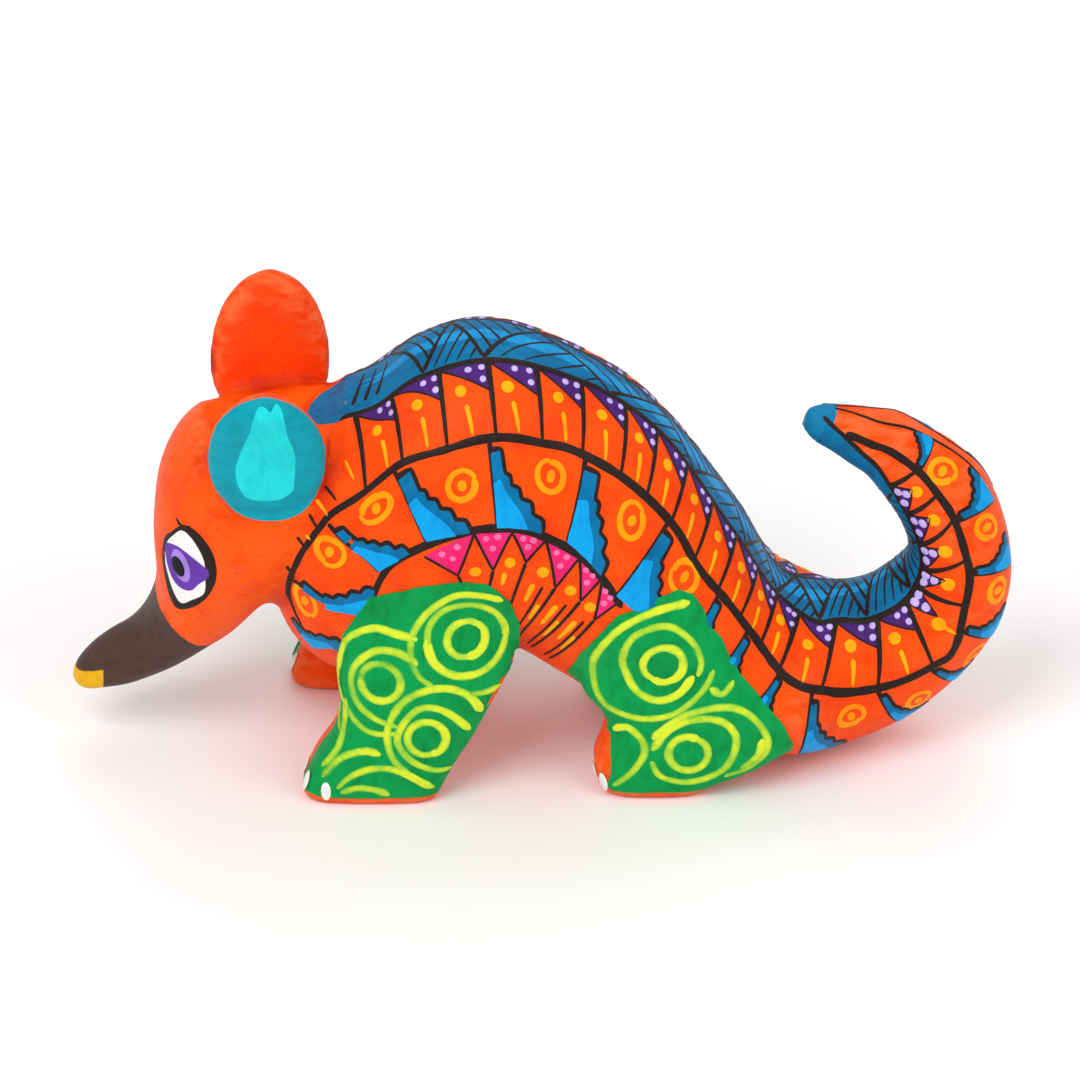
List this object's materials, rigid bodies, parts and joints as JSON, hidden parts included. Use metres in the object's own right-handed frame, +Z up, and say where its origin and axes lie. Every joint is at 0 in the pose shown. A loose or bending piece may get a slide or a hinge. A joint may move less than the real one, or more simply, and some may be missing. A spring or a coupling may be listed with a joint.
{
  "type": "carved wooden animal figure",
  "caption": "Small carved and painted wooden animal on four short legs, with humped back, long snout, round ears and a thick tail that curls up behind it.",
  "frame": {"origin": "on the ground, under the middle of the figure's box", "axes": "+Z up, head towards -X, tail towards +X, the figure's left side towards +Y"},
  "size_m": [0.1102, 0.0322, 0.0552],
  "materials": {
    "orange_paint": "matte hand-brushed acrylic over wood",
    "green_paint": "matte hand-brushed acrylic over wood",
    "teal_paint": "matte hand-brushed acrylic over wood",
    "bare_wood": "bare, sanded",
    "detail_paint": "thin brushed and dotted acrylic detail"
  },
  "bodies": {
    "root": {"trunk": "orange_paint", "head": "orange_paint", "tail": "orange_paint", "left_ear": "teal_paint", "right_ear": "teal_paint", "front_leg_left": "green_paint", "front_leg_right": "green_paint", "hind_leg_left": "green_paint", "hind_leg_right": "green_paint", "neck_dowel": "bare_wood", "tail_dowel": "bare_wood", "left_ear_dowel": "bare_wood", "right_ear_dowel": "bare_wood", "front_leg_dowel_left": "bare_wood", "front_leg_dowel_right": "bare_wood", "hind_leg_dowel_left": "bare_wood", "hind_leg_dowel_right": "bare_wood"}
  },
  "joints": []
}
